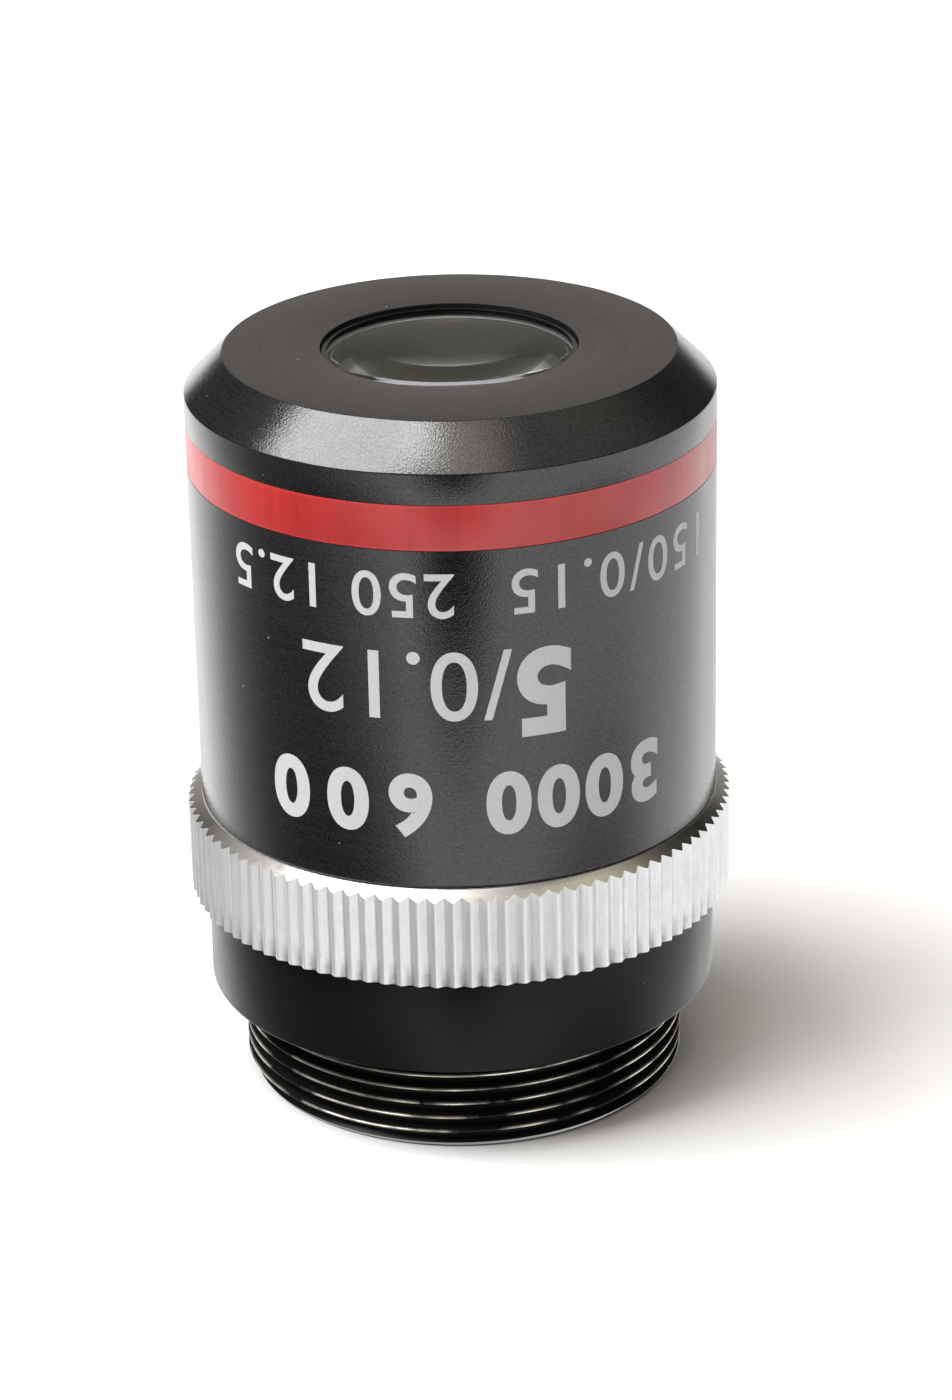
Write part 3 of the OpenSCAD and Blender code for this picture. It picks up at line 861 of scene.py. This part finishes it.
# For each lens: its rear and front radius, its glass, and the gap behind it
lens_table = [
    ("front_lens", 14.5, 62, "coated_glass", 0),
    ("second_lens_crown", 14, 20, "crown_glass", CEMENT),
    ("second_lens_flint", 30, -14, "flint_glass", 0),
    ("middle_lens_crown", 14, 20, "crown_glass", CEMENT),
    ("middle_lens_flint", -11, -14, "flint_glass", 0),
    ("rear_lens_crown", 18, 30, "crown_glass", CEMENT),
    ("rear_lens_flint", 40, -18, "flint_glass", 0),
]
for node, rear, front, kind, gap in lens_table:
    lens = glass_lens(node, rear, front, gap)
    finish_piece(lens, glass(node + "_glass", span(node)[0], *glass_kinds[kind]), kind, node)

# %% [markdown]
# The tube that holds the cells and the ring that clamps it are turned brass, and the thin ring
# under the tube that sets the focus height is ground steel. They are hidden when the objective is
# together, so their CAD meshes stay, with a finish that reads well when it is taken apart.

# %% Brass and ground steel
brass_colour = (0.72, 0.52, 0.24, 1)
steel_colour = (0.6, 0.6, 0.59, 1)


def turned_metal(name, colour, roughness, depth):
    """Bare metal with turned grain of a depth in metres."""
    material, tree, shader = new_finish(name)
    place, x, y, z, radius = position(tree)
    lines = tool_grain(tree, x, y, z, radius, round_scale=100, cut_scale=9000, detail=4, roughness=0.6)
    cloud = noise(tree, place, 300, detail=4)
    tarnish = remap(tree, cloud, 0.35, 0.7, 0, 1)
    tree.links.new(blend_colours(tree, tarnish, colour, shade_of(colour, 0.72)), shader.inputs["Base Color"])
    shader.inputs["Metallic"].default_value = 1
    tree.links.new(spread(tree, lines, roughness - 0.06, roughness + 0.08), shader.inputs["Roughness"])
    bump(tree, shader, lines, depth)
    return material


brass = turned_metal("tube_brass", brass_colour, roughness=0.28, depth=0.004 * MM)
steel = turned_metal("shim_steel", steel_colour, roughness=0.3, depth=0.002 * MM)
dress(brass, "inner_tube", "tube_lock_ring")
dress(steel, "parfocal_ring")
print("hidden metal dressed")

# %% [markdown]
# White figures are screened on the barrel. They read the right way up when the objective hangs in
# its microscope, so here they stand on their heads. Figures could be cut into the barrel, but
# print lies on top of it: text becomes a flat mesh, is cut into narrow strips so that it can
# follow the curve, and each point is then laid round the barrel.

# %% Printed figures
PRINT_STRIP = 0.25
CAP_SHARE = 0.73
CURVE_STEPS = 10
print_r = barrel_r + 0.006
ink_grey, ink_white = (0.40, 0.41, 0.43, 1), (0.50, 0.51, 0.53, 1)


def printed(name, body, height, centre_angle, base_height, weight, spacing):
    """Text of a cap height in mm. The angle in degrees is its middle, right of the near side."""
    deselect()
    bpy.ops.object.text_add()
    text = bpy.context.object
    text.name = name
    text.data.body = body
    text.data.size = height / CAP_SHARE * MM
    text.data.align_x = "CENTER"
    text.data.offset = weight * MM
    text.data.space_character = spacing
    text.data.resolution_u = CURVE_STEPS
    bpy.ops.object.convert(target="MESH")
    text = bpy.context.object
    bpy.ops.object.mode_set(mode="EDIT")
    half = max(abs(v.co.x) for v in text.data.vertices) / MM
    strips = math.ceil(half * 2 / PRINT_STRIP)
    for i in range(1, strips):
        bpy.ops.mesh.select_all(action="SELECT")
        bpy.ops.mesh.bisect(plane_co=((i * PRINT_STRIP - half) * MM, 0, 0), plane_no=(1, 0, 0))
    bpy.ops.object.mode_set(mode="OBJECT")
    for vertex in text.data.vertices:
        angle = math.radians(centre_angle) - vertex.co.x / MM / barrel_r
        vertex.co = Vector((
            math.sin(angle) * print_r, -math.cos(angle) * print_r, base_height - vertex.co.y / MM)) * MM
    return text


def white_print(name):
    """Screened ink, a little uneven."""
    material, tree, shader = new_finish(name)
    ink = noise(tree, mapped_place(tree), 5000, roughness=0.6)
    tree.links.new(blend_colours(tree, ink, ink_grey, ink_white), shader.inputs["Base Color"])
    shader.inputs["Roughness"].default_value = 0.55
    bump(tree, shader, ink, 0.004 * MM)
    return material


print_white = white_print("white_print")
# For each row: its cap height, angle, height on the barrel, weight and letter spacing
print_rows = [
    ("print_small_right", "150/0.15", 2.1, 39.4, 23.8, 0.02, 1.16),
    ("print_small_left", "250 12.5", 2.1, -26.6, 23.8, 0.02, 1.1),
    ("print_large_bold", "5", 3.9, 18.4, 19.95, 0.19, 1.0),
    ("print_large", "/0.12", 3.3, -11.4, 20.2, 0.02, 1.05),
    ("print_bold_right", "3000", 2.8, 27.0, 14.4, 0.15, 1.18),
    ("print_bold_left", "600", 2.8, -24.2, 14.4, 0.15, 1.5),
]
for name, *row in print_rows:
    finish_piece(printed(name, *row), print_white, "black_anodised")

# %% [markdown]
# The objective stands on a plain pale floor under one big square panel that hangs above and to
# the left. What a dark glossy barrel shows is mostly its surroundings, and those are far wider
# than the picture: a bright table with dim places towards the camera, behind, at the left and low
# on both sides, a pale wall behind it, a dim room that gets lighter overhead, and a lit patch high
# up in front, which the chamfer mirrors. All that could be built, but the world can hold it as a
# simple function of direction. So mirror rays look past the floor into the world's lower half, and
# the floor itself only gives its own light and the shadow.

# %% Floor and panel
floor_size = 40
floor_grey, floor_white = (0.72, 0.72, 0.725, 1), (0.75, 0.75, 0.75, 1)
softbox_direction = Vector((-0.46, -0.13, 0.88)).normalized()
softbox_distance = 0.6
softbox_size = 0.44
softbox_power = 7.3

deselect()
bpy.ops.mesh.primitive_plane_add(size=floor_size, location=(0, 0, thread_end_z * MM))
floor = bpy.context.object
floor.name = "floor"
bpy.ops.object.transform_apply(location=True, rotation=True, scale=True)
floor_finish, tree, shader = new_finish("pale_floor")
paper = noise(tree, mapped_place(tree), 60, detail=4)
tree.links.new(blend_colours(tree, paper, floor_grey, floor_white), shader.inputs["Base Color"])
shader.inputs["Roughness"].default_value = 0.8
shader.inputs["Specular IOR Level"].default_value = 0.1
floor.data.materials.append(floor_finish)
floor.visible_glossy = False

bpy.ops.object.light_add(type="AREA")
softbox = bpy.context.object
softbox.name = "softbox"
softbox.data.shape = "SQUARE"
softbox.data.size = softbox_size
softbox.data.energy = softbox_power
softbox.visible_transmission = False
softbox.location = softbox_direction * softbox_distance
softbox.rotation_euler = softbox_direction.to_track_quat("Z", "Y").to_euler()

# %% Surroundings
world = bpy.data.worlds.new("studio")
bpy.context.scene.world = world
world.use_nodes = True
tree = world.node_tree
way = add(tree, "ShaderNodeTexCoord").outputs["Generated"]
up = add(tree, "ShaderNodeSeparateXYZ", [(0, way)]).outputs["Z"]


def towards(direction, edge_angle, full_angle, edge_value, full_value):
    """A value that changes with the angle in degrees between the way looked and a direction."""
    aim = Vector(direction).normalized()
    dot = add(tree, "ShaderNodeVectorMath", [(0, way), (1, aim)], operation="DOT_PRODUCT").outputs["Value"]
    edge = math.cos(math.radians(edge_angle))
    full = math.cos(math.radians(full_angle))
    return remap(tree, dot, edge, full, edge_value, full_value)


table_light = 2.1
table_white = (1, 1, 1, 1)
room_white = (1, 0.94, 0.87, 1)
lamp_white = (1, 0.95, 0.72, 1)
# For each dim place of the table: its direction, its outer and inner angle, and the light left
table_shades = [
    ((-0.88, -0.22, -0.44), 52, 10, 0.08),
    ((0, -0.985, -0.17), 18.5, 7.5, 0.0),
    ((0.09, 0.91, -0.40), 32, 8, 0.5),
    ((-0.50, -0.36, -0.79), 33, 12, 0.0),
    ((0.56, -0.20, -0.80), 33, 12, 0.1),
]
shades = [towards(aim, outer, inner, 1.0, left) for aim, outer, inner, left in table_shades]
table = product(tree, table_light, *shades)

room = remap(tree, up, 0.42, 0.8, 0.06, 0.6)
wall = towards((0, 0.93, 0.36), 34, 20, 0.0, 0.44)
back_right_shade = towards((0.51, 0.57, 0.64), 24, 8, 1.0, 0.08)
glow = towards((0, -0.36, 0.93), 22, 3, 0.0, 3.6)
above = product(tree, calc(tree, "MAXIMUM", room, wall), back_right_shade)
above = calc(tree, "MAXIMUM", above, glow)

over_horizon = remap(tree, up, -0.06, 0.04, 0, 1)
under_horizon = calc(tree, "SUBTRACT", 1.0, over_horizon)
light = calc(tree, "ADD", product(tree, above, over_horizon), product(tree, table, under_horizon))
warmth = towards((0.42, 0.3, 0.86), 26, 10, 0.0, 1.0)
tint = blend_colours(tree, over_horizon, table_white, room_white)
tint = blend_colours(tree, warmth, tint, lamp_white)
background = tree.nodes["Background"]
tree.links.new(tint, background.inputs["Color"])
tree.links.new(light, background.inputs["Strength"])
bpy.context.scene.view_settings.view_transform = "Standard"
print("lights ready")
